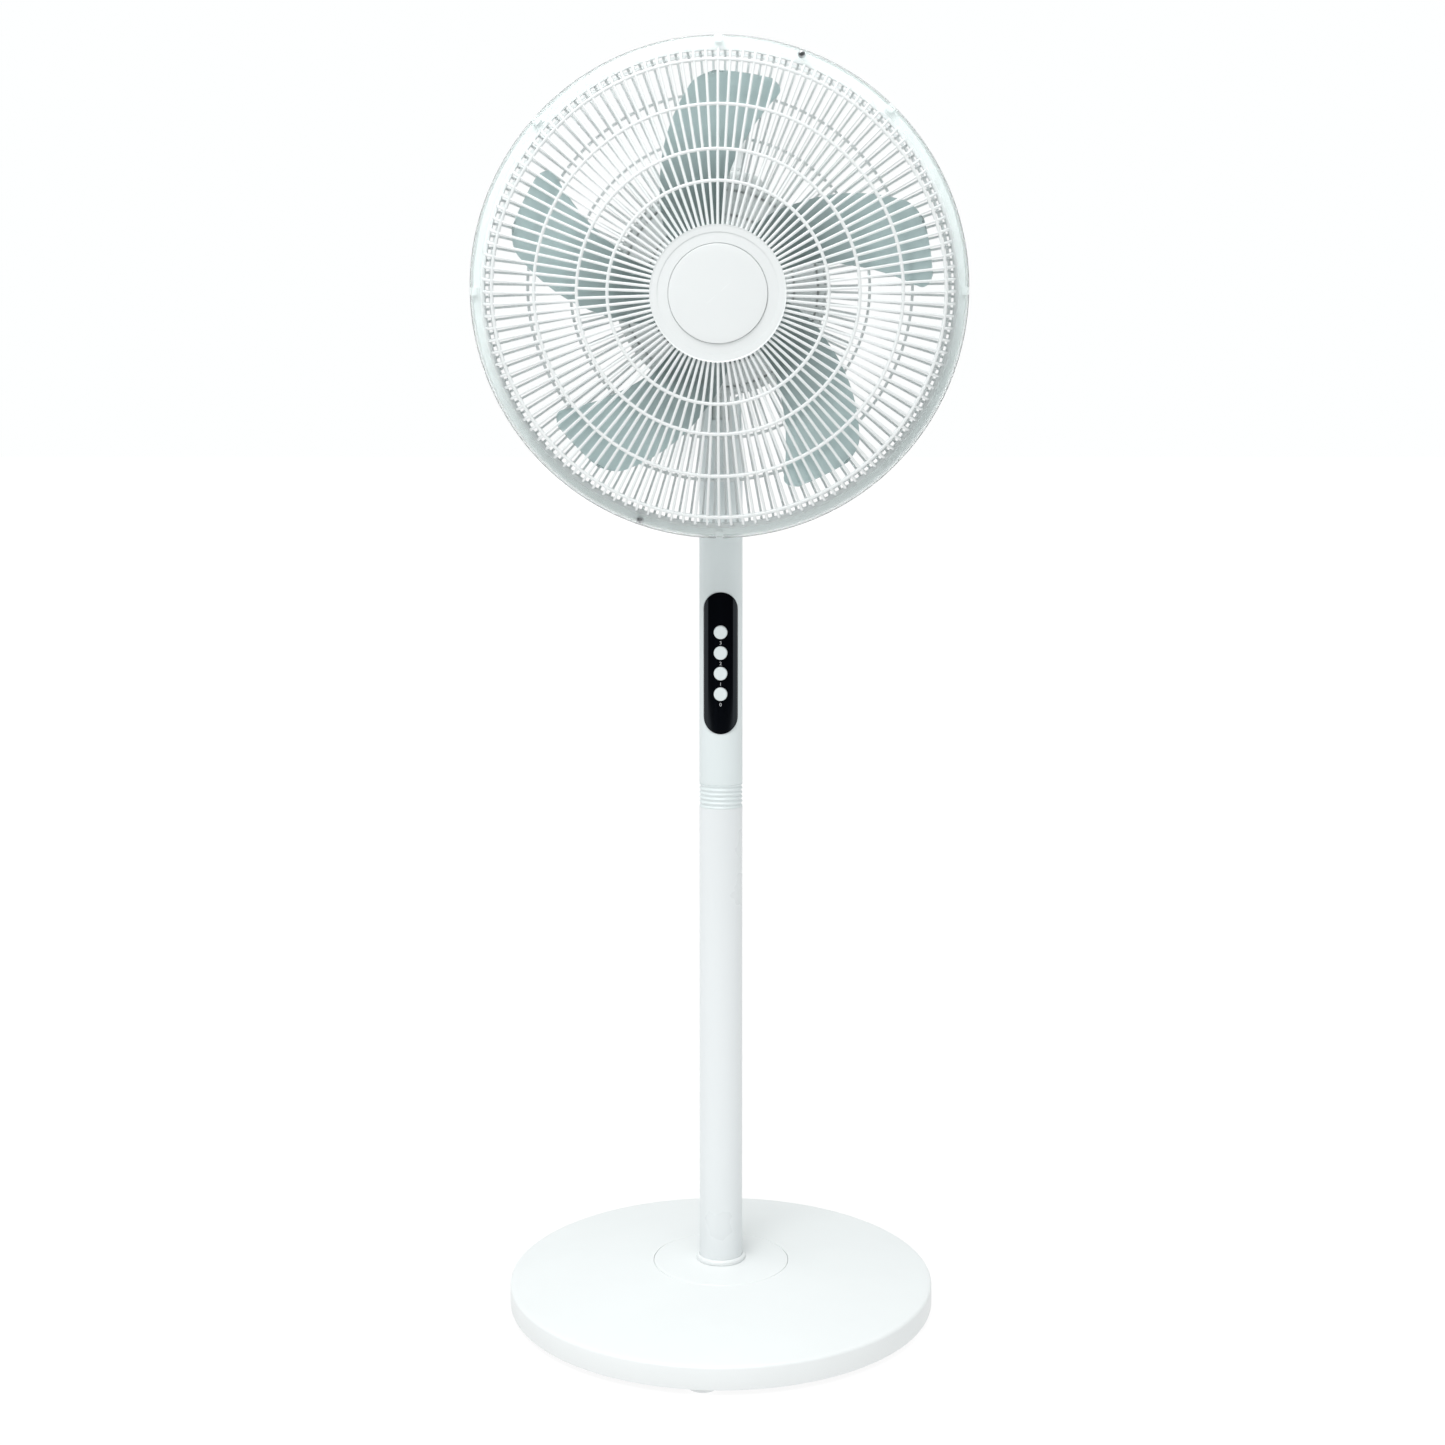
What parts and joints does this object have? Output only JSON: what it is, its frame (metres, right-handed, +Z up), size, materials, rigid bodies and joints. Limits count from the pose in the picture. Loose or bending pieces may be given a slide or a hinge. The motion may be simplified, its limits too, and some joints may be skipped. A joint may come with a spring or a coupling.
{
  "type": "pedestal fan",
  "caption": "White pedestal fan with a round weighted base, telescopic column with push buttons, and a tilting, swinging caged head with a five-blade impeller.",
  "frame": {"origin": "on the floor at the centre of the round base", "axes": "+Z up along the column, -Y to the front where the fan blows, +X to the right seen from the front"},
  "size_m": [0.44, 0.4, 1.1724],
  "materials": {
    "white_plastic": "white moulded plastic, soft gloss",
    "white_enamel": "white powder-coated steel",
    "column_plastic": "cool white moulded plastic, satin",
    "pale_grey_plastic": "pale grey moulded plastic, fine grain",
    "clear_plastic": "clear, slightly milky plastic",
    "black_gloss": "black gloss plastic",
    "blade_tint": "translucent grey-green plastic",
    "rubber": "dark matt rubber",
    "pale_rubber": "whitish soft rubber",
    "zinc_steel": "zinc-plated steel",
    "chrome_tube": "bright plated tube",
    "dark_steel": "dark coated steel",
    "cast_aluminium": "die-cast aluminium",
    "copper_wire": "lacquered copper winding wire",
    "bearing_brass": "sintered bronze bush",
    "nylon": "natural nylon"
  },
  "bodies": {
    "stand": {"base_cover": "white_plastic", "base_centre_disc": "white_plastic", "base_weight": "dark_steel", "foot_1": "pale_rubber", "foot_2": "pale_rubber", "foot_3": "pale_rubber", "foot_4": "pale_rubber", "foot_5": "pale_rubber", "lower_pole": "white_enamel", "pole_foot_ring": "white_plastic", "pole_plug": "dark_steel", "base_bolt": "zinc_steel", "clamp_sleeve": "nylon"},
    "collar": {"height_collar": "column_plastic"},
    "upper_column": {"inner_tube": "chrome_tube", "tube_holder": "nylon", "control_housing_front": "column_plastic", "control_housing_rear": "column_plastic", "housing_screw_1": "zinc_steel", "housing_screw_2": "zinc_steel", "cord_inlet": "rubber", "control_panel": "black_gloss", "switch_block": "nylon", "run_capacitor": "nylon", "tilt_bolt": "zinc_steel", "tilt_nut": "zinc_steel"},
    "speed_3_button": {"button_3": "column_plastic"},
    "speed_2_button": {"button_2": "column_plastic"},
    "speed_1_button": {"button_1": "column_plastic"},
    "off_button": {"button_0": "column_plastic"},
    "neck": {"neck_bracket": "pale_grey_plastic", "swivel_pin": "zinc_steel"},
    "link": {"link_arm": "zinc_steel"},
    "head": {"motor_front_plate": "pale_grey_plastic", "grille_lock_nut": "pale_grey_plastic", "motor_rear_cover": "pale_grey_plastic", "cover_screw": "zinc_steel", "motor_end_front": "cast_aluminium", "motor_end_rear": "cast_aluminium", "bearing_front": "bearing_brass", "bearing_rear": "bearing_brass", "stator_core": "dark_steel", "winding_front": "copper_wire", "winding_rear": "copper_wire", "swivel_bracket": "cast_aluminium", "gearbox_case": "nylon", "front_grille": "white_plastic", "rear_grille": "white_plastic", "rim_ring": "clear_plastic", "rim_screw_1": "zinc_steel", "rim_screw_2": "zinc_steel", "hub_cap": "white_plastic", "hub_badge": "white_plastic"},
    "rotor": {"motor_shaft": "zinc_steel", "rotor_core": "cast_aluminium", "impeller": "blade_tint", "blade_nut": "blade_tint"},
    "worm_gear": {"worm_wheel": "nylon"},
    "crank": {"crank_gear": "nylon"},
    "swing_knob": {"oscillation_knob": "white_plastic"}
  },
  "joints": [
    {"name": "height_lock", "type": "hinge", "parent": "stand", "child": "collar", "pos_m": [0, 0, 0.488], "axis": [0, 0, 1], "range_deg": [0, 90]},
    {"name": "height_slide", "type": "slide", "parent": "stand", "child": "upper_column", "axis": [0, 0, 1], "range_m": [0, 0.2]},
    {"name": "speed_3_press", "type": "slide", "parent": "upper_column", "child": "speed_3_button", "axis": [0, 1, 0], "range_m": [0, 0.003], "stiffness_N_per_m": 400, "springref_m": -0.001},
    {"name": "speed_2_press", "type": "slide", "parent": "upper_column", "child": "speed_2_button", "axis": [0, 1, 0], "range_m": [0, 0.003], "stiffness_N_per_m": 400, "springref_m": -0.001},
    {"name": "speed_1_press", "type": "slide", "parent": "upper_column", "child": "speed_1_button", "axis": [0, 1, 0], "range_m": [0, 0.003], "stiffness_N_per_m": 400, "springref_m": -0.001},
    {"name": "off_press", "type": "slide", "parent": "upper_column", "child": "off_button", "axis": [0, 1, 0], "range_m": [0, 0.003], "stiffness_N_per_m": 400, "springref_m": -0.001},
    {"name": "head_tilt", "type": "hinge", "parent": "upper_column", "child": "neck", "pos_m": [0, 0, 0.8435], "axis": [1, 0, 0], "range_deg": [-21, 8.5]},
    {"name": "head_swivel", "type": "hinge", "parent": "neck", "child": "head", "pos_m": [0, -0.01233, 0.96085], "axis": [0, -0.1045, 0.9945], "range_deg": [-40, 40]},
    {"name": "rotor_spin", "type": "hinge", "parent": "head", "child": "rotor", "pos_m": [0, -0.01233, 0.96085], "axis": [0, 0.9945, 0.1045], "continuous": true},
    {"name": "worm_wheel_spin", "type": "hinge", "parent": "head", "child": "worm_gear", "pos_m": [0.014, 0.03043, 0.96535], "axis": [0, -0.1045, 0.9945], "continuous": true},
    {"name": "crank_swing", "type": "hinge", "parent": "head", "child": "crank", "pos_m": [-0.004, 0.03908, 0.96626], "axis": [0, -0.1045, 0.9945], "range_deg": [-91, 91]},
    {"name": "link_swing", "type": "hinge", "parent": "neck", "child": "link", "pos_m": [0.0186, -0.00519, 0.9063], "axis": [0, -0.1045, 0.9945], "range_deg": [-37, 37]},
    {"name": "swing_knob_pull", "type": "slide", "parent": "head", "child": "swing_knob", "axis": [0, -0.1045, 0.9945], "range_m": [0, 0.008]}
  ],
  "couplings": [
    {"joint": "worm_wheel_spin", "follows": "rotor_spin", "ratio": 0.033333},
    {"joint": "crank_swing", "follows": "head_swivel", "ratio": -2.25},
    {"joint": "link_swing", "follows": "head_swivel", "ratio": 0.9}
  ]
}
